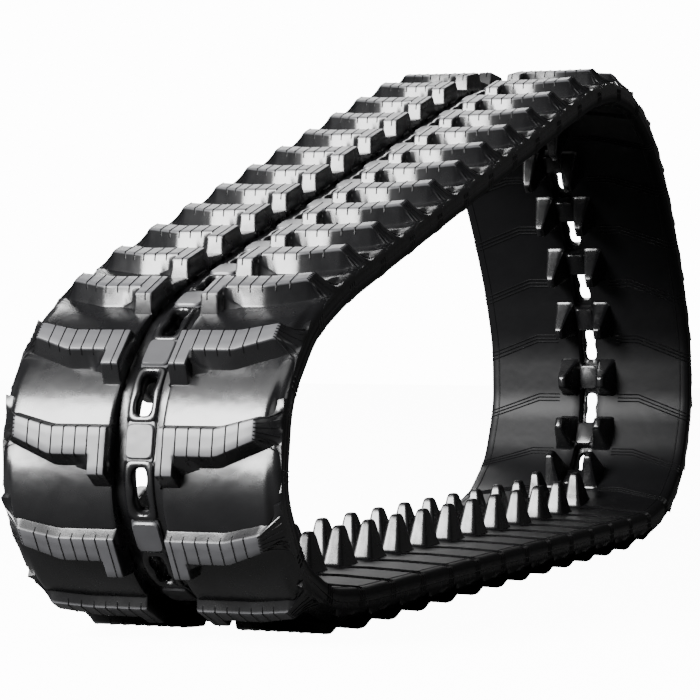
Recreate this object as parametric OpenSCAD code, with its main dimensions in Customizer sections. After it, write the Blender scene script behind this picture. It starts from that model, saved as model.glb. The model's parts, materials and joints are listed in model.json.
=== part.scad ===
// Endless rubber track for a compact excavator: a moulded rubber belt with paired
// tread lugs, a steel core across every pitch and two bands of endless steel cord.
// The belt stands on its ground run. X runs along the belt, with the tight front
// bend at -X, Y runs across it, and the ground is at Z = 0.
// Belt heights are measured from the cord layer: tread side up, roller side down.

/* [Belt] */
// Distance between neighbouring cores along the cord layer
pitch = 72; // [60:1:86]
// Number of pitches in the endless belt
link_count = 39; // [33:1:39]
// Full width of the belt
belt_width = 230; // [192:1:276]
// Depth of the roller face below the cord layer
roller_depth = 10; // [9:0.5:14]
// Height of the rubber between the lugs above the cord layer
floor_height = 11; // [8:0.5:15]
// Height of the step that thins both edges of the belt
edge_step = 4; // [2:0.5:5]
// Width of the step that thins both edges of the belt
edge_inset = 5; // [2:0.5:10]

/* [Loop] */
// Place of the front bend, as a share of the loop from the middle of the ground run
front_bend_at = 0.233; // [0.225:0.001:0.245]
// Place of the top bend, as a share of the loop
top_bend_at = 0.624; // [0.61:0.001:0.64]
// Place of the lower rear bend, as a share of the loop
rear_bend_at = 0.782; // [0.77:0.001:0.79]
// Half length of each bend, in pitches
bend_reach = 3.9; // [3.6:0.05:4.2]

/* [Lugs] */
// Height of the tread face above the cord layer
lug_height = 26; // [20:0.5:32]
// Length of a lug's bar along the belt
bar_length = 20; // [16:0.5:24]
// Length of the bar along the belt at its outer end
bar_end_length = 15; // [12:0.5:18]
// Length of the straight half of the bar, across the belt
bar_straight = 48; // [40:0.5:52]
// How far the outer end is swept towards the front
bar_sweep = 8; // [4:0.5:10]
// Place of the bar's front edge ahead of the core's middle
bar_front = 8; // [6:0.5:10]
// Width of the hook at the inner end of the bar
hook_width = 15; // [12:0.5:20]
// Free length of floor between the hook and the next pitch
hook_clearance = 9; // [7:0.5:12]
// Distance from the tread face to the edge of the belt
lug_margin = 16; // [12:0.5:20]
// Height of the thicker foot around each lug
foot_height = 5; // [3:0.5:7]
// Width of the thicker foot around each lug
foot_flare = 3; // [2:0.5:4]

/* [Channel] */
// Clear width between the left and right lugs
channel_width = 40; // [36:1:50]
// Depth of the channel below the floor between the lugs
channel_depth = 4; // [2:0.5:5]
// Length of the pad over each core, along the belt
pad_length = 26; // [22:1:30]
// Width of the pad over each core
pad_width = 24; // [20:1:30]
// Width of a sprocket window on the roller side
window_width = 20; // [18:0.5:22]
// Width of a sprocket window on the tread side
slot_width = 13; // [10:0.5:16]
// Thickness of the frame that narrows a window on the tread side, along the belt
slot_frame = 6; // [4:0.5:8]
// Height of a window's ledge above the cord layer
slot_ledge = 1; // [0.5:0.5:3]

/* [Cores] */
// Distance from the end of a core to the edge of the belt
core_margin = 37; // [30:1:45]
// Length of a core's wings along the belt
wing_length = 24; // [20:1:26]
// Thickness of a core's wings
wing_thickness = 6; // [5:0.5:6.5]
// Rubber between the cores and the roller face
core_cover = 2; // [1.5:0.5:3]
// Length of a core's bridge along the belt
bridge_length = 22; // [18:1:24]
// Height of a core's bridge above the cord layer
bridge_height = 4; // [2:0.5:5]
// Thickness of the rubber over the guide horns
horn_skin = 2; // [1:0.5:3]

/* [Guide horns] */
// Height of a horn's top below the cord layer
horn_depth = 44; // [36:1:52]
// Clear width between a pair of horns at their feet
horn_gap = 22; // [22:0.5:26]
// Width of a horn at its foot
horn_foot_width = 20; // [16:0.5:22]
// Width of a horn at its top
horn_top_width = 8; // [6:0.5:10]
// How far the top's inner edge leans away from the foot's inner edge
horn_slope = 7; // [5:0.5:9]
// Length of a horn at its foot, along the belt
horn_foot_length = 40; // [34:1:44]
// Length of a horn at its top, along the belt
horn_top_length = 12; // [8:0.5:16]
// How far the top leans towards the front
horn_lean = 3; // [0:0.5:5]

/* [Cords] */
// Number of steel cords in each band
cord_count = 6; // [2:1:6]
// Side of a cord's square section
cord_size = 2.6; // [1.6:0.1:3]
// Room between a cord and its tunnel through the standing part, on each side
cord_play = 0.15; // [0.1:0.05:0.3]
// Distance between neighbouring cords
cord_spacing = 11; // [6:0.5:11]
// Place of the innermost cord from the middle of the belt
cord_start = 34; // [34:0.5:38]

/* [Flex] */
// Gap between neighbouring blocks of rubber at the cord layer
seam = 0.8; // [0.4:0.1:2]
// Gap at the seam where the loop is opened
open_seam = 2.4; // [1.5:0.1:3]
// Angle cut off each block on both sides of the cord layer
flex_room = 3.6; // [3.2:0.1:6]
// Largest slope of a pitch that still lies on the ground
flat_limit = 1.5; // [1:0.1:2]

/* [Hidden] */
half_width = belt_width / 2;
half_pitch = pitch / 2;
past = 100;
cut_gap = -2 * roller_depth;
solve_rounds = 8;
bend_step = 0.01;
heading_parts = 1e9;
seam_parts = 1e6;

rubber_black = [0.07, 0.07, 0.075];
core_grey = [0.45, 0.46, 0.48];
cord_brass = [0.72, 0.6, 0.32];

function total(list) = list * [for (item = list) 1];
function wrap(k) = (k % link_count + link_count) % link_count;

// How much of one bend's turning falls on each seam of the loop: a smooth hump.
function hump(at) = [
    for (k = [0 : link_count - 1])
        let (off = abs(k - at * link_count), away = min(off, link_count - off))
        away < bend_reach ? 1 + cos(180 * away / bend_reach) : 0
];
function share(at) = hump(at) / total(hump(at));
front_share = share(front_bend_at);
top_share = share(top_bend_at);
rear_share = share(rear_bend_at);

// Turning at each seam, from the turning of the front and rear bends.
function seam_turns(bends) =
    bends[0] * front_share + bends[1] * rear_share + (360 - bends[0] - bends[1]) * top_share;
function headings(turns) = [
    for (k = 0, h = 180; k < link_count; k = k + 1, h = h - (k < link_count ? turns[k] : 0)) h
];
function loop_gap(bends) =
    let (h = headings(seam_turns(bends)))
    pitch * [total([for (a = h) cos(a)]), total([for (a = h) sin(a)])];

// The front and rear bends are turned until the two ends of the loop meet.
function close_loop(bends, rounds) =
    rounds == 0 ? bends :
    let (
        gap = loop_gap(bends),
        by_front = (loop_gap(bends + [bend_step, 0]) - gap) / bend_step,
        by_rear = (loop_gap(bends + [0, bend_step]) - gap) / bend_step
    )
    close_loop(
        bends - [cross(gap, by_rear), cross(by_front, gap)] / cross(by_front, by_rear),
        rounds - 1
    );
turn = seam_turns(close_loop([160, 120], solve_rounds));

// Rounded off, so that all of the ground run lies in exactly one plane.
function rounded(value, parts) = round(value * parts) / parts;
heading = [for (h = headings(turn)) rounded(h, heading_parts)];

// Seams of the loop in the side view, with seam k where pitch k begins.
seams = [
    for (k = 0, p = [-half_pitch, 0]; k < link_count;
         p = p + pitch * [cos(heading[k]), sin(heading[k])], k = k + 1)
        [rounded(p[0], seam_parts), rounded(p[1], seam_parts)]
];
function along(k) = [cos(heading[wrap(k)]), sin(heading[wrap(k)])];
function outward(k) = [-sin(heading[wrap(k)]), cos(heading[wrap(k)])];
function middle(k) = seams[wrap(k)] + half_pitch * along(k);
// A spot of pitch k in the side view, x along the belt and z above the cord layer.
function spot(k, x, z) = middle(k) + x * along(k) + z * outward(k);
// Where the seam at the end of pitch k crosses height z.
function end_spot(k, z) = spot(k, half_pitch + z * tan(turn[wrap(k + 1)] / 2), z);

// The pitches that lie on the ground, and those that stand up from it.
function is_flat(k) = abs(heading[wrap(k)] - 180) < flat_limit || abs(heading[wrap(k)] + 180) < flat_limit;
ahead = len([for (k = [0 : link_count / 2]) if (is_flat(k)) k]) - 1;
behind = len([for (k = [1 : link_count / 2]) if (is_flat(-k)) k]);
moving = link_count - 1 - ahead - behind;
open_after = ceil(moving / 2 - 0.6);

hook_end = half_pitch - hook_clearance;
tread_spots = [
    for (k = [0 : link_count - 1], x = [-hook_end, bar_front + bar_sweep]) spot(k, x, lug_height)
];
tread_x = [for (s = tread_spots) s[0]];
ground_z = min([for (s = tread_spots) s[1]]);
middle_x = (min(tread_x) + max(tread_x)) / 2;

pair = [-1, 1];
inner_z = -roller_depth;
core_low = core_cover - roller_depth;

function two_digits(n) = n < 10 ? str("0", n) : str(n);
function rubber_name(n) = str("link_", two_digits(n), "_rubber");
function core_name(n) = str("link_", two_digits(n), "_core");

module on_ground() {
    translate([-middle_x, 0, -ground_z]) children();
}

module at_link(k) {
    translate([middle(k)[0], 0, middle(k)[1]])
        rotate([0, -heading[wrap(k)], 0])
            children();
}

// A shape drawn in the side view, as wide as given across the belt.
module across(width) {
    rotate([90, 0, 0])
        linear_extrude(height = width, center = true)
            children();
}

// How far the end face of a block reaches at height z, for the turn of its seam.
function reach(gap, bend, z) =
    half_pitch - gap / 2 + z * tan(bend / 2) - abs(z) * tan(flex_room);

// A layer that follows the belt over the pitches first to last. Its levels run from
// high to low, and its two ends leave room to flex.
module layer(first, last, gaps, levels, width) {
    deep = len(levels) - 1;
    front_face = [for (z = levels) spot(last, reach(gaps[1], turn[wrap(last + 1)], z), z)];
    rear_face = [
        for (n = [deep : -1 : 0]) spot(first, -reach(gaps[0], turn[wrap(first)], levels[n]), levels[n])
    ];
    high_line = [for (k = [first : 1 : last - 1]) end_spot(k, levels[0])];
    low_line = [for (k = [last - 1 : -1 : first]) end_spot(k, levels[deep])];
    across(width)
        polygon(concat(high_line, front_face, low_line, rear_face));
}

// The tread face of the lug on the +Y side, grown all round, and reaching into the
// channel that trims it.
function lug_outline(grow) =
    let (
        inner = channel_width / 2 - foot_flare,
        outer = half_width - lug_margin + grow,
        kink = channel_width / 2 + bar_straight,
        front = bar_front + grow,
        rear = bar_front - bar_length - grow,
        tip = bar_front + bar_sweep
    )
    [
        [front, inner], [front, kink], [tip + grow, outer], [tip - bar_end_length - grow, outer],
        [rear, kink], [rear, channel_width / 2 + hook_width + grow],
        [-hook_end - grow, channel_width / 2 + hook_width + grow], [-hook_end - grow, inner]
    ];

module lug() {
    bottom = floor_height - channel_depth;
    translate([0, 0, bottom])
        linear_extrude(height = lug_height - bottom)
            polygon(lug_outline(0));
    translate([0, 0, bottom])
        linear_extrude(height = foot_height + channel_depth)
            polygon(lug_outline(foot_flare));
}

module lug_pair() {
    lug();
    mirror([0, 1, 0]) lug();
}

// Both guide horns, drawn in by the given skin: a wedge seen from the side cut by a
// wedge seen along the belt.
module horns(skin) {
    foot = horn_foot_length / 2 - skin;
    top = horn_top_length / 2 - skin;
    depth = horn_depth - skin;
    outline = horn_outline(skin);
    for (side = pair)
        intersection() {
            across(past)
                polygon([
                    [-foot, 0], [-foot, inner_z], [horn_lean - top, -depth],
                    [horn_lean + top, -depth], [foot, inner_z], [foot, 0]
                ]);
            rotate([90, 0, 90])
                linear_extrude(height = past, center = true)
                    polygon([for (p = outline) [side * p[0], p[1]]]);
        }
}

// The outline of the +Y horn seen along the belt.
function horn_outline(skin) =
    let (inner = horn_gap / 2 + skin, outer = horn_gap / 2 + horn_foot_width - skin)
    let (top = horn_gap / 2 + horn_slope + skin, end = horn_gap / 2 + horn_slope + horn_top_width - skin)
    let (depth = horn_depth - skin)
    [[inner, core_low], [inner, inner_z], [top, -depth], [end, -depth], [outer, inner_z], [outer, core_low]];

// The steel core of one pitch: two wings with round ends, a bridge and two horns.
module core() {
    wing_end = half_width - core_margin - wing_length / 2;
    translate([-wing_length / 2, -wing_end, core_low])
        cube([wing_length, 2 * wing_end, wing_thickness]);
    for (side = pair)
        translate([0, side * wing_end, core_low])
            cylinder(h = wing_thickness, r = wing_length / 2, $fn = 48);
    translate([-bridge_length / 2, -channel_width / 2, core_low])
        cube([bridge_length, channel_width, bridge_height - core_low]);
    horns(horn_skin);
}

// A groove along the pitches first to last, broken by a block in the middle of each.
module groove(first, last, levels, width, block) {
    low = levels[1] - roller_depth;
    difference() {
        layer(first, last, [cut_gap, cut_gap], levels, width);
        for (k = [first : last])
            at_link(k)
                translate([-block[0] / 2, -block[1] / 2, low])
                    cube([block[0], block[1], block[2] - low]);
    }
}

// The channel between the left and right lugs, and what the sprocket windows take out
// on the roller side and right through.
module channel_and_windows(first, last) {
    framed = pad_length + 2 * slot_frame;
    groove(first, last, [past / 2, floor_height - channel_depth], channel_width,
        [pad_length, pad_width, floor_height]);
    groove(first, last, [slot_ledge, 2 * inner_z], window_width, [pad_length, past, past]);
    groove(first, last, [past / 2, 2 * inner_z], slot_width, [framed, past, past]);
}

// The steps that thin both edges of the belt, on the tread side and the roller side.
module edge_steps(first, last) {
    cut_gaps = [cut_gap, cut_gap];
    for (side = pair)
        translate([0, side * half_width, 0]) {
            layer(first, last, cut_gaps, [past / 2, floor_height - edge_step], 2 * edge_inset);
            layer(first, last, cut_gaps, [inner_z + edge_step, 2 * inner_z], 2 * edge_inset);
        }
}

function cord_rows() = [for (n = [0 : cord_count - 1]) cord_start + n * cord_spacing];

// The straight tunnels that hold the cords through one pitch, with some play round them.
module cord_tunnels(play) {
    bore = cord_size + 2 * play;
    for (side = pair, y = cord_rows())
        translate([0, side * y, 0])
            cube([pitch + roller_depth, bore, bore], center = true);
}

// The rubber of the pitches first to last, with a gap at both ends. The cords lie in it
// with the given play.
module rubber(first, last, gaps, play) {
    on_ground()
        difference() {
            union() {
                layer(first, last, gaps, [floor_height, 0, inner_z], belt_width);
                for (k = [first : last])
                    at_link(k) {
                        lug_pair();
                        horns(0);
                    }
            }
            channel_and_windows(first, last);
            edge_steps(first, last);
            for (k = [first : last])
                at_link(k) {
                    core();
                    cord_tunnels(play);
                }
        }
}

module cores(first, last) {
    on_ground()
        for (k = [first : last])
            at_link(k) core();
}

module ground_run_rubber() {
    color(rubber_black) rubber(-behind, ahead, [seam, seam], 0);
}

module ground_run_cores() {
    color(core_grey) cores(-behind, ahead);
}

// Pitch n of the standing part, counted from the front end of the ground run.
module link_rubber(n) {
    rear_gap = n == open_after + 1 ? open_seam : seam;
    front_gap = n == open_after ? open_seam : seam;
    color(rubber_black) rubber(ahead + n, ahead + n, [rear_gap, front_gap], cord_play);
}

module link_core(n) {
    color(core_grey) cores(ahead + n, ahead + n);
}

// One band of endless cords, each a closed ring along the whole loop.
module steel_cords(side) {
    loop = [0 : link_count - 1];
    color(cord_brass)
        on_ground()
            for (y = cord_rows())
                translate([0, side * y, 0])
                    across(cord_size)
                        difference() {
                            polygon([for (k = loop) end_spot(k, cord_size / 2)]);
                            polygon([for (k = loop) end_spot(k, -cord_size / 2)]);
                        }
}

ground_run_rubber();
ground_run_cores();
steel_cords(1);  // steel_cords_left
steel_cords(-1);  // steel_cords_right
for (n = [1 : moving]) {
    link_rubber(n);
    link_core(n);
}
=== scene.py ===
import json
import math
import bpy
import bmesh
import numpy as np
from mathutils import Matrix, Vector


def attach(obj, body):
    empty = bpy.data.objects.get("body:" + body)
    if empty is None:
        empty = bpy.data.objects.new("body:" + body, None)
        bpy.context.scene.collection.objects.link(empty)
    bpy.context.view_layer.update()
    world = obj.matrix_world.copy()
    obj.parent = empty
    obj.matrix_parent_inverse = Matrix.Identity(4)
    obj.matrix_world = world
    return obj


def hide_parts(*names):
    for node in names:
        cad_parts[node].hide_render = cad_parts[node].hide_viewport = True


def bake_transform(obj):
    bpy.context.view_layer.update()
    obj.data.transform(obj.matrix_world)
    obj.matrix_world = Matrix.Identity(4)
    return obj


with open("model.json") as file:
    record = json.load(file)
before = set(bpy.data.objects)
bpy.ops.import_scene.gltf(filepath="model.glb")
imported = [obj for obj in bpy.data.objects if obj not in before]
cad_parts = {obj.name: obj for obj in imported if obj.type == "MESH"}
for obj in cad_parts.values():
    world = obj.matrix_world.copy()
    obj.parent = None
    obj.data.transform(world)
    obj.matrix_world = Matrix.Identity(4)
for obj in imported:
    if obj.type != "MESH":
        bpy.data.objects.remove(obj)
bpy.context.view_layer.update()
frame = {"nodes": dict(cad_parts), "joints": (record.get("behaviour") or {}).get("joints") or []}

MM = 0.001

# The belt's path
# ---------------
# An endless rubber belt of 39 equal pitches. Each pitch is stiff over its steel core and
# the rubber between two cores bends, so the belt is straight over a core and curves at
# the seams, where the joints are. Local places are u or x along the belt, y across it
# and z out of it, towards the tread, from the layer where the steel cords lie.
PITCH = 72 * MM
STIFF = 13 * MM
GROUND_PITCHES = 12
pivots = {int(j["name"].split("_")[1]): j["pos_m"] for j in frame["joints"]}
pivots = {n: np.array([p[0], p[2]]) for n, p in pivots.items()}
LAST_PIVOT = max(pivots)
OPENED = [n for n in range(1, LAST_PIVOT) if n not in pivots][0]
pivots[OPENED] = (pivots[OPENED - 1] + pivots[OPENED + 1]) / 2
seams = [pivots[LAST_PIVOT]]
for step in range(GROUND_PITCHES - 1, 0, -1):
    seams.append(pivots[1] + np.array([step * PITCH, 0]))
seams += [pivots[n] for n in range(1, LAST_PIVOT)]
PITCHES = len(seams)


def heading(n):
    way = seams[(n + 1) % PITCHES] - seams[n % PITCHES]
    return way / np.linalg.norm(way)


def body_of_pitch(n):
    n %= PITCHES
    return "ground_run" if n < GROUND_PITCHES else f"link_{n - GROUND_PITCHES + 1:02d}"


def on_core(points, n):
    """Local points about the middle of pitch n, put in place."""
    way = heading(n)
    middle = (seams[n % PITCHES] + seams[(n + 1) % PITCHES]) / 2
    out = np.array([-way[1], way[0]])
    flat = middle + points[:, :1] * way + points[:, 2:] * out
    return np.column_stack([flat[:, 0], points[:, 1], flat[:, 1]])


def round_seam(points, n):
    """Local points about seam n, bent along the belt's curve there."""
    before, after, seam = heading(n - 1), heading(n), seams[n % PITCHES]
    bend = PITCH / 2 - STIFF
    u = points[:, :1]
    t = np.clip((u + bend) / (2 * bend), 0, 1)
    start, end = seam - bend * before, seam + bend * after
    line = (1 - t) ** 2 * start + 2 * t * (1 - t) * seam + t ** 2 * end
    line = line + np.minimum(u + bend, 0) * before + np.maximum(u - bend, 0) * after
    way = (1 - t) * before + t * after
    way = way / np.linalg.norm(way, axis=1)[:, None]
    flat = line + points[:, 2:] * np.column_stack([-way[:, 1], way[:, 0]])
    return np.column_stack([flat[:, 0], points[:, 1], flat[:, 1]])


# Moulded rubber
# --------------
# Natural and styrene rubber filled with carbon black, cured in a polished steel mould:
# a black gloss with soft waves, a fine grain and a thin grey bloom. The tread faces are
# duller than the rest, from the mould's blasted bottom and from handling. Their paler grey
# is painted light, standing for the front light that the flat tops catch. The roller side
# is dull from the powder that keeps it off the core of the mould.
def linear(hex_colour):
    parts = [int(hex_colour[k:k + 2], 16) / 255 for k in (1, 3, 5)]
    return [c / 12.92 if c <= 0.04045 else ((c + 0.055) / 1.055) ** 2.4 for c in parts] + [1]


def add(tree, kind, settings, links={}):
    """Adds a node, sets its properties and sockets, and links its inputs."""
    node = tree.nodes.new(kind)
    for name, value in settings.items():
        if isinstance(name, str) and hasattr(node, name):
            setattr(node, name, value)
        else:
            node.inputs[name].default_value = value
    for name, source in links.items():
        tree.links.new(source, node.inputs[name])
    return node


def new_material(name):
    material = bpy.data.materials.new(name)
    material.use_nodes = True
    tree = material.node_tree
    tree.nodes.clear()
    return material, tree


def finish_material(tree, shader):
    add(tree, "ShaderNodeOutputMaterial", {}, {"Surface": shader.outputs[0]})


def moulded_rubber():
    material, tree = new_material("moulded_black_rubber")
    place = add(tree, "ShaderNodeTexCoord", {}).outputs["Object"]
    # Bloom lies in clouds some 30 mm wide, and the grain is about 0.6 mm.
    clouds = add(tree, "ShaderNodeTexNoise", {"Scale": 34.0, "Detail": 4.0}, {"Vector": place})
    grain = add(tree, "ShaderNodeTexNoise", {"Scale": 1500.0, "Detail": 2.0}, {"Vector": place})
    waves = add(tree, "ShaderNodeTexNoise", {"Scale": 75.0, "Detail": 1.0}, {"Vector": place})
    bloom = clouds.outputs["Fac"]
    face = add(tree, "ShaderNodeAttribute", {"attribute_name": "tread_face"}).outputs["Fac"]
    inside = add(tree, "ShaderNodeAttribute", {"attribute_name": "roller_side"}).outputs["Fac"]
    gloss_colour = add(
        tree, "ShaderNodeMix",
        {"data_type": "RGBA", 6: linear("#050506"), 7: linear("#0c0c0d")}, {0: bloom},
    ).outputs[2]
    # Painted light: the tread faces' paler grey stands for the front light their flat tops catch.
    face_colour_with_painted_light = add(
        tree, "ShaderNodeMix",
        {"data_type": "RGBA", 6: linear("#323234"), 7: linear("#424244")}, {0: bloom},
    ).outputs[2]
    colour = add(
        tree, "ShaderNodeMix", {"data_type": "RGBA"}, {0: face, 6: gloss_colour, 7: face_colour_with_painted_light}
    ).outputs[2]
    gloss = add(
        tree, "ShaderNodeMapRange", {"To Min": 0.2, "To Max": 0.34}, {"Value": bloom}
    ).outputs[0]
    tread_rough = add(
        tree, "ShaderNodeMix", {"data_type": "FLOAT", 3: 0.46}, {0: face, 2: gloss}
    ).outputs[0]
    rough = add(
        tree, "ShaderNodeMix", {"data_type": "FLOAT", 3: 0.5}, {0: inside, 2: tread_rough}
    ).outputs[0]
    shine = add(
        tree, "ShaderNodeMapRange", {"To Min": 0.5, "To Max": 0.16}, {"Value": inside}
    ).outputs[0]
    coarse = add(
        tree, "ShaderNodeBump", {"Strength": 0.25, "Distance": 1.2 * MM},
        {"Height": waves.outputs["Fac"]},
    )
    fine = add(
        tree, "ShaderNodeBump", {"Strength": 0.25, "Distance": 0.12 * MM},
        {"Height": grain.outputs["Fac"], "Normal": coarse.outputs[0]},
    )
    shader = add(
        tree, "ShaderNodeBsdfPrincipled", {"IOR": 1.52},
        {"Base Color": colour, "Roughness": rough, "Specular IOR Level": shine,
         "Normal": fine.outputs[0]},
    )
    finish_material(tree, shader)
    return material


rubber = moulded_rubber()


# The belt
# --------
# One rubber casing: two thick bands, left and right, that hold the cords, joined over
# each core by a bridge and pierced between the cores by a window for the sprocket's
# tooth. A raised frame lies round each window on the tread side. It is made here seam
# by seam, from the middle of one core to the middle of the next.
def shell(rings, closed=False):
    """Corners and faces of a tube through rings of equal count, capped unless closed."""
    rings = np.asarray(rings, float)
    count, size = rings.shape[:2]
    faces = []
    for m in range(count if closed else count - 1):
        a, b = m * size, (m + 1) % count * size
        faces += [(a + n, a + (n + 1) % size, b + (n + 1) % size, b + n) for n in range(size)]
    if not closed:
        faces.append(tuple(range(size))[::-1])
        faces.append(tuple(range((count - 1) * size, count * size)))
    return rings.reshape(-1, 3), faces


def joined(shells):
    """Several shells as one."""
    corners, faces, base = [], [], 0
    for points, polygons in shells:
        corners.append(points)
        faces += [tuple(n + base for n in p) for p in polygons]
        base += len(points)
    return np.vstack(corners), faces


def mirrored(a_shell):
    points, faces = a_shell
    return points * np.array([1, -1, 1]), [p[::-1] for p in faces]


def new_piece(name, points, faces, material, crease=42, marks=None):
    mesh = bpy.data.meshes.new(name)
    mesh.from_pydata([tuple(p) for p in points], [], faces)
    for mark, shares in (marks or {}).items():
        mesh.attributes.new(mark, "FLOAT", "POINT").data.foreach_set(
            "value", np.asarray(shares, np.float32))
    shape = bmesh.new()
    shape.from_mesh(mesh)
    bmesh.ops.recalc_face_normals(shape, faces=shape.faces)
    shape.to_mesh(mesh)
    shape.free()
    mesh.materials.append(material)
    mesh.polygons.foreach_set("use_smooth", [True] * len(mesh.polygons))
    mesh.set_sharp_from_angle(angle=math.radians(crease))
    piece = bpy.data.objects.new(name, mesh)
    bpy.context.scene.collection.objects.link(piece)
    return piece


# Heights and widths of the belt, in millimetres.
EDGE, CHANNEL_SIDE = 115, 20
FLOOR, TREAD, ROLLER = 11, 26, -10
HALF_PITCH = 36
FLASH = 0.6
# A tongue of rubber rises from each lug's front foot and runs out towards the next lug.
# Its share of the rise is given by the place across the belt.
TONGUE_RISE, TONGUE_LENGTH, TONGUE_SAG, TONGUE_START = 6.5, 44, 1.3, 2
tongue_share = {20.3: 0.5, 20.9: 0.8, 22: 0.95, 23.5: 1, 28: 1, 34: 1, 40: 1, 50: 1, 60: 1,
                70: 1, 80: 1, 90: 1, 97: 1, 102: 0.98, 104: 0.9, 105.6: 0.66, 107: 0.36,
                108.4: 0.12}
CORNER_Y, CORNER_DROP = 20.5, 1.6
# One band's section, y and z, from the window's side round the edge, with a line of flash
# on the edge and another on the roller side.
band_section = [(CHANNEL_SIDE, ROLLER), (CHANNEL_SIDE, 2), (CHANNEL_SIDE, 9.0)]
band_section += [(y, FLOOR - CORNER_DROP * (y < CORNER_Y)) for y in tongue_share]
band_section += [
    (109.8, 10.8), (112, 9.9), (113.6, 8.6), (114.8, 6.4), (EDGE, 4),
    (EDGE, 1.5), (EDGE + FLASH, 1.0), (EDGE + FLASH, 0.4), (EDGE, -0.1), (EDGE, -4.5),
    (114.5, -6.8), (113.2, -8.6), (111, -9.6), (108.6, ROLLER), (106.4, ROLLER),
    (105.8, ROLLER - FLASH), (105.2, ROLLER - FLASH), (104.6, ROLLER), (80, ROLLER),
    (60, ROLLER), (40, ROLLER),
]
along_steps = [-HALF_PITCH, -28, -23, -19.5, -16, -12.5, -9, -6, -3, 0,
               3, 6, 9, 12.5, 16, 19.5, 23, 29, HALF_PITCH]
# A lug's bar runs straight across to SWEEP_START and is then swept forward.
BAR_REAR, BAR_FRONT = -12, 8
SWEEP_START, SWEEP_WIDTH, REAR_SWEEP, FRONT_SWEEP = 68, 31, 13, 8


def bar_rear(y):
    return BAR_REAR + REAR_SWEEP * max(0, (y - SWEEP_START) / SWEEP_WIDTH)


def bar_front(y):
    return BAR_FRONT + FRONT_SWEEP * max(0, (y - SWEEP_START) / SWEEP_WIDTH)


def tongue(u, y):
    start = bar_front(y) + TONGUE_START - HALF_PITCH
    far = min(max((u - start) / TONGUE_LENGTH, 0), 1)
    return TONGUE_RISE * tongue_share.get(y, 0) * (1 - far) ** TONGUE_SAG


def band():
    rings = []
    for u in along_steps:
        rings.append([(u, y, z + (tongue(u, y) if z > FLOOR / 2 else 0)) for y, z in band_section])
    return shell(rings)


def round_rectangle(half_u, half_y, corner):
    """Spots round a rectangle, the same count for each size and each corner."""
    across, along = np.linspace(-1, 1, 9)[:-1], np.linspace(-1, 1, 19)[:-1]
    sides = [(1, v) for v in across] + [(-v, 1) for v in along]
    sides += [(-1, -v) for v in across] + [(v, -1) for v in along]
    spots = []
    for a, b in sides:
        pull = 1 if corner is None else (abs(a) ** corner + abs(b) ** corner) ** (-1 / corner)
        spots.append((a * pull * half_u, b * pull * half_y))
    return np.array(spots)


def stacked(levels):
    """A closed block through levels of half length, half width, squareness and height."""
    rings = []
    for half_u, half_y, corner, z in levels:
        spots = round_rectangle(half_u, half_y, corner)
        rings.append(np.column_stack([spots, np.full(len(spots), z)]))
    return shell(rings)


def window_frame():
    """The bridge's rubber round one window, as a closed ring."""
    # From outside in: half length, half width, how square the corners are, height, and
    # how far the middle is pinched.
    levels = [
        (HALF_PITCH, CHANNEL_SIDE, None, ROLLER, 0), (HALF_PITCH, CHANNEL_SIDE, None, 7, 0),
        (24.2, 14.2, 7, 7.0, 0), (22.4, 12.4, 7, 7.5, 0), (21.6, 11.5, 7, 9.0, 0),
        (20.8, 10.8, 7, 9.6, 0), (19.0, 9.0, 6, 9.6, 0.1), (17.9, 7.6, 5, 9.2, 0.18),
        (17.2, 6.7, 4, 7.8, 0.24), (16.9, 6.4, 4, 4.5, 0.26), (17, 6.5, 4, 1.6, 0.24),
        (17.6, 7.0, 4, 1, 0.15), (22.4, 9.4, 6, 1, 0), (23, 10, 6, 0, 0), (23, 10, 6, -8.4, 0),
        (23.3, 10.3, 6, -9.5, 0), (24.3, 11.3, 6, ROLLER, 0),
    ]
    pinch_length = 5.5
    rings = []
    for half_u, half_y, corner, z, pinch in levels:
        spots = round_rectangle(half_u, half_y, corner)
        narrowed = 1 - pinch * np.exp(-(spots[:, 0] / pinch_length) ** 2)
        rings.append(np.column_stack([spots[:, 0], spots[:, 1] * narrowed, np.full(len(spots), z)]))
    return shell(rings, closed=True)


belt_points, belt_faces = joined([band(), mirrored(band()), window_frame()])
belt_points = belt_points * MM
ROLLER_SIDE_BELOW = -2
belt_marks = (belt_points[:, 2] < ROLLER_SIDE_BELOW * MM).astype(float)


def belt_bodies(n):
    return body_of_pitch(n - 1), body_of_pitch(n)


def seam_name(n):
    return f"{(n - GROUND_PITCHES) % PITCHES + 1:02d}"


ground_seams = range(1, GROUND_PITCHES)
ground_belt = joined([(round_seam(belt_points, n), belt_faces) for n in ground_seams])
piece = new_piece("belt_of_ground_run", *ground_belt, rubber,
                  marks={"roller_side": np.tile(belt_marks, len(ground_seams))})
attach(piece, "ground_run")
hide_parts("ground_run_rubber")
free_seams = range(GROUND_PITCHES, PITCHES + 1)
# No joint spans the seam where the loop is opened, so what lies on it rides on one link.
OPENED_SEAM = GROUND_PITCHES + OPENED - 1


def span(piece, n):
    """Puts a piece on the body before seam n if the loop opens there, else bakes it in place."""
    first, second = belt_bodies(n)
    if n == OPENED_SEAM:
        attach(piece, first)
    else:
        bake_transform(piece)


for n in free_seams:
    piece = new_piece("belt_at_seam_" + seam_name(n), round_seam(belt_points, n), belt_faces,
                      rubber, marks={"roller_side": belt_marks})
    span(piece, n)


# Tread lugs
# ----------
# A left and a right lug on each pitch, moulded in one with the belt: a bar across the
# band, swept forward at its outer end, with a hook at its inner end beside the channel.
# The pad over the core's bridge lies between them.
HOOK_REAR = -27
# Feet stand a little below the belt's floor. Where there is no hook, its foot is sunk
# deeper, so that it stays covered where the belt bends away.
FOOT_DEPTH, SUNK, ROOT = 0.6, 5, 4.0
# The rear wall, from foot to top: place behind or before its upper edge, share of height.
wall_x = np.array([-8.6, -7.6, -6.2, -1.0, -0.2, 0.9])
wall_share = (-0.3, -0.1, 0.14, 0.88, 0.97, 1)
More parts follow.
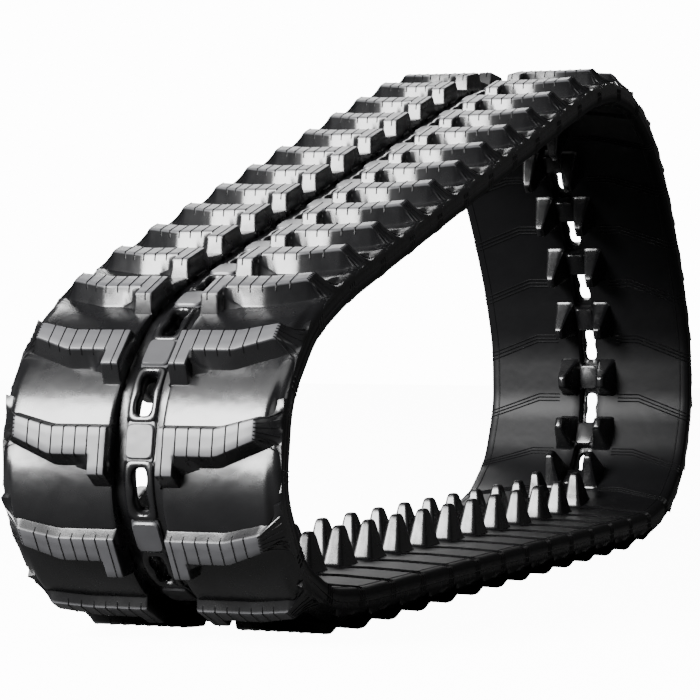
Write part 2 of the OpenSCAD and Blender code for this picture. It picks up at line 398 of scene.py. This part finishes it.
# The ridge that runs up to the hook's corner, as shares of the height.
ridge_share = (0.62, 0.8, 0.9, 0.97, 1, 1)
# The front wall, from top to foot.
front_wall_x = np.array([0.2, 1.0, 3.0, 5.6, 9, 14])
front_wall_share = (0.97, 0.86, 0.5, 0.2, -0.05, -0.3)
ROUNDING = 0.9
TOP_STEPS = 3


def lug():
    """The left lug's shell, and how far each corner belongs to the tread face."""
    # Stations from the channel to the belt's edge: y, top, how much of the hook and of
    # its corner's ridge stands there.
    stations = [
        (20.0, 6.0, 1, 1), (20.3, 16, 1, 1), (20.8, 24.6, 1, 1), (21.5, 25.7, 1, 1),
        (22.6, TREAD, 1, 1), (28, TREAD, 1, 1), (32.8, TREAD, 1, 1), (34.2, TREAD, 0.99, 1),
        (34.9, TREAD, 0.93, 0.98), (35.6, TREAD, 0.55, 0.93), (36.6, TREAD, 0.2, 0.84),
        (38.0, TREAD, 0.08, 0.72), (40.5, TREAD, 0.02, 0.52), (44, TREAD, 0, 0.3),
        (48, TREAD, 0, 0.1), (52, TREAD, 0, 0), (60, TREAD, 0, 0), (66, TREAD, 0, 0),
        (70, TREAD, 0, 0), (80, TREAD, 0, 0), (90, TREAD, 0, 0), (96.5, TREAD, 0, 0),
        (98.4, 25.6, 0, 0), (99.6, 24.6, 0, 0), (102, 21.6, 0, 0), (106, 17.4, 0, 0),
        (110, 13.8, 0, 0), (112.8, 11.4, 0, 0), (114.4, 8.4, 0, 0),
    ]
    rings, marks = [], []
    for y, top, hook, ridge in stations:
        rear, front = bar_rear(y), bar_front(y)
        low = FLOOR - FOOT_DEPTH
        high = top - low
        hook_x = list(HOOK_REAR + wall_x)
        hook_z = [low + high * part * hook - SUNK * (1 - hook) for part in wall_share]
        bar_x = list(rear + wall_x)
        bar_z = [low + max(high * part, high * part_of_ridge * ridge, high * hook)
                 for part, part_of_ridge in zip(wall_share, ridge_share)]
        top_x = list(np.linspace(rear + ROUNDING, front - ROUNDING, TOP_STEPS + 1)[1:])
        front_x = list(front + front_wall_x)
        front_z = [low + high * part for part in front_wall_share]
        ring_x = [hook_x[0]] + hook_x + bar_x + top_x + front_x + [front_x[-1]]
        ring_z = [ROOT] + hook_z + bar_z + [top] * TOP_STEPS + front_z + [ROOT]
        rings.append([(x, y, z) for x, z in zip(ring_x, ring_z)])
        on_face = top > TREAD - 0.5 and y > CHANNEL_SIDE + 1
        face_edge = top - 0.05 * (top - FLOOR) - 0.2
        marks += [float(on_face and z > face_edge) for z in ring_z]
    return shell(rings), marks


def pad():
    """The pad over a core's bridge, with a low ledge at both ends."""
    return stacked([(17, 12, 7, 4), (16.6, 11.8, 7, 8.0), (16, 11.2, 7, 8.6),
                    (13.6, 11, 7, 8.7), (13.2, 10.9, 7, 10.2), (12.4, 10.2, 6, 11)])


SHARP = 34
# The pad's top gets 0.7 of the tread faces' dullness and of their paler grey, which is painted
# light.
PAD_DULLNESS_AND_PAINTED_LIGHT, PAD_FOOT = 0.7, 8
left_lug, left_marks = lug()
the_pad = pad()
lug_points, lug_faces = joined([left_lug, mirrored(left_lug), the_pad])
pad_marks = [PAD_DULLNESS_AND_PAINTED_LIGHT if z > PAD_FOOT else 0.0 for z in the_pad[0][:, 2]]
lug_marks = left_marks + left_marks + pad_marks
lug_master = new_piece("lug_pair_of_one_pitch", lug_points * MM, lug_faces, rubber, SHARP,
                       {"tread_face": lug_marks})


def row_tree(name, material):
    """Geometry Nodes that set one master piece on every core of a body."""
    tree = bpy.data.node_groups.new(name, "GeometryNodeTree")
    tree.interface.new_socket("Geometry", in_out="INPUT", socket_type="NodeSocketGeometry")
    tree.interface.new_socket("Master", in_out="INPUT", socket_type="NodeSocketObject")
    tree.interface.new_socket("Geometry", in_out="OUTPUT", socket_type="NodeSocketGeometry")
    source = add(tree, "NodeGroupInput", {})
    shape = add(tree, "GeometryNodeObjectInfo", {"transform_space": "ORIGINAL"},
                {"Object": source.outputs["Master"]})
    slope = add(tree, "GeometryNodeInputNamedAttribute", {"data_type": "FLOAT", "Name": "slope"})
    spin = add(tree, "ShaderNodeCombineXYZ", {}, {"Y": slope.outputs["Attribute"]})
    points = add(tree, "GeometryNodeMeshToPoints", {}, {"Mesh": source.outputs["Geometry"]})
    placed = add(tree, "GeometryNodeInstanceOnPoints", {},
                 {"Points": points.outputs[0], "Instance": shape.outputs["Geometry"],
                  "Rotation": spin.outputs[0]})
    real = add(tree, "GeometryNodeRealizeInstances", {}, {"Geometry": placed.outputs[0]})
    done = add(tree, "GeometryNodeSetMaterial", {"Material": material},
               {"Geometry": real.outputs[0]})
    add(tree, "NodeGroupOutput", {}, {"Geometry": done.outputs[0]})
    return tree, tree.interface.items_tree["Master"].identifier


def plain_mesh(carrier, name, crease):
    """The evaluated result of a carrier's modifier as a plain piece of its own."""
    bpy.context.view_layer.update()
    graph = bpy.context.evaluated_depsgraph_get()
    mesh = bpy.data.meshes.new_from_object(carrier.evaluated_get(graph))
    mesh.name = name
    carrier.modifiers.clear()
    bpy.data.objects.remove(carrier)
    mesh.polygons.foreach_set("use_smooth", [True] * len(mesh.polygons))
    mesh.set_sharp_from_angle(angle=math.radians(crease))
    piece = bpy.data.objects.new(name, mesh)
    bpy.context.scene.collection.objects.link(piece)
    return piece


def row_of(name, master, pitches, tree, socket, crease):
    """A row of the master, one on each of the given pitches."""
    spots = np.vstack([on_core(np.zeros((1, 3)), n) for n in pitches])
    carrier_mesh = bpy.data.meshes.new(name + "_spots")
    carrier_mesh.from_pydata([tuple(p) for p in spots], [], [])
    slopes = [-math.atan2(heading(n)[1], heading(n)[0]) for n in pitches]
    carrier_mesh.attributes.new("slope", "FLOAT", "POINT").data.foreach_set("value", slopes)
    carrier = bpy.data.objects.new(name + "_spots", carrier_mesh)
    bpy.context.scene.collection.objects.link(carrier)
    modifier = carrier.modifiers.new("row", "NODES")
    modifier.node_group = tree
    modifier[socket] = master
    return plain_mesh(carrier, name, crease)


bodies = [("ground_run", list(range(GROUND_PITCHES)))]
bodies += [(body_of_pitch(n), [n]) for n in range(GROUND_PITCHES, PITCHES)]
lug_tree, lug_socket = row_tree("row_of_lugs", rubber)
for body, pitches in bodies:
    piece = row_of(body + "_lugs", lug_master, pitches, lug_tree, lug_socket, SHARP)
    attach(piece, body)
    if body != "ground_run":
        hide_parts(body + "_rubber")
bpy.data.objects.remove(lug_master)


# Mould lines
# -----------
# Fine raised threads of rubber where the mould was vented: along each tread face, in a
# fan down each lug's outer end, and in threes across the roller side and over the edge.
def line_tree(name, material):
    """Geometry Nodes that give every edge of a net the thickness of a thread."""
    tree = bpy.data.node_groups.new(name, "GeometryNodeTree")
    tree.interface.new_socket("Geometry", in_out="INPUT", socket_type="NodeSocketGeometry")
    tree.interface.new_socket("Thickness", in_out="INPUT", socket_type="NodeSocketFloat")
    tree.interface.new_socket("Geometry", in_out="OUTPUT", socket_type="NodeSocketGeometry")
    source = add(tree, "NodeGroupInput", {})
    half = add(tree, "ShaderNodeMath", {"operation": "MULTIPLY", 1: 0.5},
               {0: source.outputs["Thickness"]})
    curves = add(tree, "GeometryNodeMeshToCurve", {}, {"Mesh": source.outputs["Geometry"]})
    section = add(tree, "GeometryNodeCurvePrimitiveCircle", {"Resolution": 4},
                  {"Radius": half.outputs[0]})
    tubes = add(tree, "GeometryNodeCurveToMesh", {"Fill Caps": True},
                {"Curve": curves.outputs[0], "Profile Curve": section.outputs[0]})
    real = add(tree, "GeometryNodeRealizeInstances", {}, {"Geometry": tubes.outputs[0]})
    done = add(tree, "GeometryNodeSetMaterial", {"Material": material},
               {"Geometry": real.outputs[0]})
    add(tree, "NodeGroupOutput", {}, {"Geometry": done.outputs[0]})
    return tree, tree.interface.items_tree["Thickness"].identifier


def threads(name, lines, thickness, tree, socket):
    """Threads along the given lines, each a list of places."""
    points, edges = [], []
    for line in lines:
        base = len(points)
        points += [tuple(p) for p in line]
        edges += [(base + n, base + n + 1) for n in range(len(line) - 1)]
    carrier_mesh = bpy.data.meshes.new(name + "_net")
    carrier_mesh.from_pydata(points, edges, [])
    carrier = bpy.data.objects.new(name + "_net", carrier_mesh)
    bpy.context.scene.collection.objects.link(carrier)
    modifier = carrier.modifiers.new("threads", "NODES")
    modifier.node_group = tree
    modifier[socket] = thickness
    return plain_mesh(carrier, name, 60)


TREAD_THREAD, ROLLER_THREAD = 1.1 * MM, 1.4 * MM
PROUD, ROLLER_PROUD = 0.1, 0.3
FIRST_THREAD, LAST_THREAD, THREAD_STEP = 26, 96, 10
HOOK_SIDE = 34
HANG = 5
# The fan on a lug's outer end: it opens from the bar's end to FAN_WIDTH at the edge.
FAN_START, FAN_REACH, FAN_WIDTH, FAN_MIDDLE = 97.5, 15.3, 34, 8.5
FAN_CURVE, FAN_SIDE_DROP = 1.3, 0.9
BAR_END = SWEEP_START + SWEEP_WIDTH
fan_slope = ((97.5, 26.0), (99.6, 24.9), (102, 21.9), (106, 17.7), (110, 14.1), (112.8, 11.6))


def lug_lines():
    """Threads of one left lug, in millimetres about the core."""
    lines = []
    for y in range(FIRST_THREAD, LAST_THREAD, THREAD_STEP):
        rear = HOOK_REAR if y < HOOK_SIDE else bar_rear(y)
        front = bar_front(y)
        lines.append([(rear - 2.6, y, TREAD - HANG), (rear - 0.2, y, TREAD + PROUD),
                      (front + 0.2, y, TREAD + PROUD), (front + 1.9, y, TREAD - HANG)])
    for share in (0.04, 0.22, 0.4, 0.6, 0.78, 0.96):
        start = bar_rear(BAR_END) + share * (bar_front(BAR_END) - bar_rear(BAR_END))
        end = FAN_MIDDLE + (share - 0.5) * FAN_WIDTH
        line = []
        for y, z in fan_slope:
            part = (y - FAN_START) / FAN_REACH
            drop = 1 - abs(share - 0.5) * FAN_SIDE_DROP * part
            line.append((start + (end - start) * part ** FAN_CURVE, y,
                         FLOOR + (z - FLOOR) * drop + PROUD))
        lines.append(line)
    return [np.array(line) for line in lines]


def edge_lines():
    """Threads of the roller side of one left band, in millimetres about the seam."""
    height = ROLLER - ROLLER_PROUD
    lines = []
    for u in (-16, -11.5, -7):
        line = [(u, 34, height), (u, 58, height)]
        line += [(u + 22 * part, 58 + 50 * part, height) for part in (0.25, 0.5, 0.75, 1)]
        line += [(u + 23.5, 112.2, -9.3), (u + 24, 114.6, -6.8),
                 (u + 24, 115.1, -4), (u + 24, 115.1, 5)]
        lines.append(line)
    return [np.array(line) for line in lines]


def both_sides(lines):
    return lines + [line * np.array([1, -1, 1]) for line in lines]


thread_tree, thread_socket = line_tree("mould_threads", rubber)
for body, pitches in bodies:
    lines = [on_core(line * MM, n) for n in pitches for line in both_sides(lug_lines())]
    piece = threads(body + "_tread_lines", lines, TREAD_THREAD, thread_tree, thread_socket)
    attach(piece, body)
lines = [round_seam(line * MM, n) for n in ground_seams for line in both_sides(edge_lines())]
piece = threads("ground_run_roller_lines", lines, ROLLER_THREAD, thread_tree, thread_socket)
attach(piece, "ground_run")
for n in free_seams:
    lines = [round_seam(line * MM, n) for line in both_sides(edge_lines())]
    piece = threads("roller_lines_" + seam_name(n), lines, ROLLER_THREAD,
                    thread_tree, thread_socket)
    span(piece, n)


# Guide horns
# -----------
# Two blunt pyramids on each core's roller side that keep the rollers in line. They are
# steel inside, in a rubber skin, and a low pad lies between the two.
FOOT_LENGTH, TOP_LENGTH, FOOT_WIDTH, TOP_WIDTH = 40, 12, 20, 8
HORN_HEIGHT, HORN_LEAN = 34, 3
FOOT_MIDDLE, TOP_MIDDLE = 21, 22
HORN_SQUARENESS, FILLET_ACROSS = 10, 0.8
# Share of the height, and how much a fillet or a rounding adds there.
horn_levels = ((-0.08, 2.2), (0.0, 1.5), (0.03, 0.5), (0.08, 0.1), (0.3, 0.0), (0.6, 0.0),
               (0.85, 0.0), (0.94, -0.3), (0.98, -0.9), (1.0, -2.0))


def horn():
    rings = []
    for share, grow in horn_levels:
        part = max(share, 0)
        half_x = (FOOT_LENGTH + (TOP_LENGTH - FOOT_LENGTH) * part) / 2 + grow
        half_y = (FOOT_WIDTH + (TOP_WIDTH - FOOT_WIDTH) * part) / 2 + min(grow, FILLET_ACROSS)
        middle = FOOT_MIDDLE + (TOP_MIDDLE - FOOT_MIDDLE) * part
        spots = round_rectangle(half_x, half_y, HORN_SQUARENESS)
        rings.append(np.column_stack(
            [spots[:, 0] + HORN_LEAN * part, spots[:, 1] + middle,
             np.full(len(spots), ROLLER - HORN_HEIGHT * share)]))
    return shell(rings)


def roller_pad():
    """The low pad between a pair of horns."""
    return stacked([(13, 10, 8, -8), (13, 10, 8, -10.6), (12.4, 9.4, 7, -11.4),
                    (11.6, 8.6, 7, -11.6)])


horn_points, horn_faces = joined([horn(), mirrored(horn()), roller_pad()])
horn_master = new_piece("horn_pair_of_one_pitch", horn_points * MM, horn_faces, rubber, SHARP)
horn_tree, horn_socket = row_tree("row_of_horns", rubber)
for body, pitches in bodies:
    piece = row_of(body + "_horns", horn_master, pitches, horn_tree, horn_socket, SHARP)
    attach(piece, body)
bpy.data.objects.remove(horn_master)


# Steel cords
# -----------
# Two bands of six endless cords of brass-coated steel wire, cured into the belt between
# its tread side and its cores. They are what holds the belt's length.
def brassed_wire():
    material, tree = new_material("brass_coated_steel_cord")
    place = add(tree, "ShaderNodeTexCoord", {}).outputs["Object"]
    # The strands cross the cord in waves about 4 mm apart.
    strands = add(
        tree, "ShaderNodeTexWave",
        {"Scale": 80.0, "Distortion": 1.0, "bands_direction": "DIAGONAL"}, {"Vector": place},
    )
    colour = add(tree, "ShaderNodeMix",
                 {"data_type": "RGBA", 6: linear("#8a6f35"), 7: linear("#c9ab63")},
                 {0: strands.outputs["Fac"]}).outputs[2]
    bump = add(tree, "ShaderNodeBump", {"Strength": 0.6, "Distance": 0.3 * MM},
               {"Height": strands.outputs["Fac"]})
    shader = add(tree, "ShaderNodeBsdfPrincipled", {"Metallic": 1.0, "Roughness": 0.38},
                 {"Base Color": colour, "Normal": bump.outputs[0]})
    finish_material(tree, shader)
    return material


brass = brassed_wire()
cord_tree, cord_socket = line_tree("steel_cords", brass)
CORD, CORDS, FIRST_CORD, CORD_STEP = 2.6 * MM, 6, 34, 11
cord_rows = [side * (FIRST_CORD + CORD_STEP * n) for side in (-1, 1) for n in range(CORDS)]


def cord_lines(n):
    """The cords' middle lines through seam n, in every second step of the belt."""
    lines = [np.array([(u, y, 0) for u in along_steps[::2]]) * MM for y in cord_rows]
    return [round_seam(line, n) for line in lines]


piece = threads("cords_of_ground_run", [line for n in ground_seams for line in cord_lines(n)],
                CORD, cord_tree, cord_socket)
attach(piece, "ground_run")
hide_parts("steel_cords_left", "steel_cords_right")
for n in free_seams:
    piece = threads("cords_at_seam_" + seam_name(n), cord_lines(n), CORD,
                    cord_tree, cord_socket)
    span(piece, n)


# Steel cores
# -----------
# One forged bar across each pitch, grey with scale from the forge and dull from the
# bonding primer, so only its rough surface shows where a window opens beside it.
def forged_steel():
    material, tree = new_material("forged_steel_with_primer")
    place = add(tree, "ShaderNodeTexCoord", {}).outputs["Object"]
    # Scale lies in patches about 5 mm wide with a 0.5 mm grit.
    patches = add(tree, "ShaderNodeTexNoise", {"Scale": 200.0, "Detail": 5.0}, {"Vector": place})
    colour = add(tree, "ShaderNodeMix",
                 {"data_type": "RGBA", 6: linear("#2e2f31"), 7: linear("#5b5d60")},
                 {0: patches.outputs["Fac"]}).outputs[2]
    bump = add(tree, "ShaderNodeBump", {"Strength": 0.5, "Distance": 0.4 * MM},
               {"Height": patches.outputs["Fac"]})
    shader = add(tree, "ShaderNodeBsdfPrincipled", {"Metallic": 0.8, "Roughness": 0.55},
                 {"Base Color": colour, "Normal": bump.outputs[0]})
    finish_material(tree, shader)
    return material


core_steel = forged_steel()
for name, node in frame["nodes"].items():
    if name.endswith("core") or name.endswith("cores"):
        node.data.materials.clear()
        node.data.materials.append(core_steel)


# Floor, light and camera
# -----------------------
# A plain white floor and a white backdrop, both dark to everything but the camera, so the
# black rubber only mirrors the lights. The large light stands in front, left of the
# camera and above it. Weak ones above, behind and beside fill in the rest.
def floor_paint():
    material, tree = new_material("matt_white_floor")
    path = add(tree, "ShaderNodeLightPath", {})
    lit = add(tree, "ShaderNodeBsdfDiffuse", {"Color": linear("#b0b0b0")})
    glow = add(tree, "ShaderNodeEmission", {"Color": linear("#ffffff"), "Strength": 12.0})
    seen = add(tree, "ShaderNodeAddShader", {}, {0: lit.outputs[0], 1: glow.outputs[0]})
    unseen = add(tree, "ShaderNodeBsdfDiffuse", {"Color": linear("#4a4a4a")})
    mixed = add(tree, "ShaderNodeMixShader", {},
                {0: path.outputs["Is Camera Ray"], 1: unseen.outputs[0], 2: seen.outputs[0]})
    finish_material(tree, mixed)
    return material


floor_mesh = bpy.data.meshes.new("floor")
FLOOR_REACH = 6
floor_corners = [(x * FLOOR_REACH, y * FLOOR_REACH, 0)
                 for x, y in ((-1, -1), (1, -1), (1, 1), (-1, 1))]
floor_mesh.from_pydata(floor_corners, [], [(0, 1, 2, 3)])
floor_mesh.materials.append(floor_paint())
floor = bpy.data.objects.new("floor", floor_mesh)
bpy.context.scene.collection.objects.link(floor)

world = bpy.data.worlds.new("studio")
bpy.context.scene.world = world
world.use_nodes = True
sky = world.node_tree
sky.nodes.clear()
path = add(sky, "ShaderNodeLightPath", {})
strength = add(sky, "ShaderNodeMapRange", {"To Min": 0.07, "To Max": 14.0},
               {"Value": path.outputs["Is Camera Ray"]})
backdrop = add(sky, "ShaderNodeBackground", {"Color": (1, 1, 1, 1)},
               {"Strength": strength.outputs[0]})
add(sky, "ShaderNodeOutputWorld", {}, {"Surface": backdrop.outputs[0]})


def soft_light(name, place, aim, size, watts):
    data = bpy.data.lights.new(name, "AREA")
    data.shape, data.size, data.size_y, data.energy = "RECTANGLE", size[0], size[1], watts
    light = bpy.data.objects.new(name, data)
    light.location = place
    light.rotation_euler = (Vector(aim) - Vector(place)).to_track_quat("-Z", "Y").to_euler()
    light.visible_camera = False
    bpy.context.scene.collection.objects.link(light)


soft_light("light_front", (-3.0, 1.35, 1.85), (-0.5, 0, 0.3), (1.7, 1.9), 780)
soft_light("light_above", (-1.2, 0.2, 2.4), (-0.3, 0, 0.3), (2.0, 1.4), 24)
soft_light("light_behind", (2.9, 1.35, 2.35), (0, 0, 0.4), (2.2, 1.2), 70)
soft_light("light_side", (-0.6, -2.8, 1.4), (0, 0, 0.2), (1.8, 0.8), 14)

loop_middle = np.mean(seams, axis=0)
YAW, TILT = math.radians(-68.34), math.radians(0.83)
AWAY, ASIDE, HIGHER = 38.30 * PITCH, -1.476 * PITCH, 0.284 * PITCH
back = Vector((math.sin(YAW) * math.cos(TILT), -math.cos(YAW) * math.cos(TILT), math.sin(TILT)))
right = Vector((math.cos(YAW), math.sin(YAW), 0))
up = back.cross(right)
camera_data = bpy.data.cameras.new("camera")
camera_data.lens = 149.8
camera_data.sensor_width = 36
camera_data.shift_x, camera_data.shift_y = 0.060, -0.010
camera = bpy.data.objects.new("camera", camera_data)
camera.location = (Vector((loop_middle[0], 0, loop_middle[1]))
                   + back * AWAY + right * ASIDE + up * HIGHER)
camera.rotation_euler = back.to_track_quat("Z", "Y").to_euler()
bpy.context.scene.collection.objects.link(camera)
bpy.context.scene.camera = camera
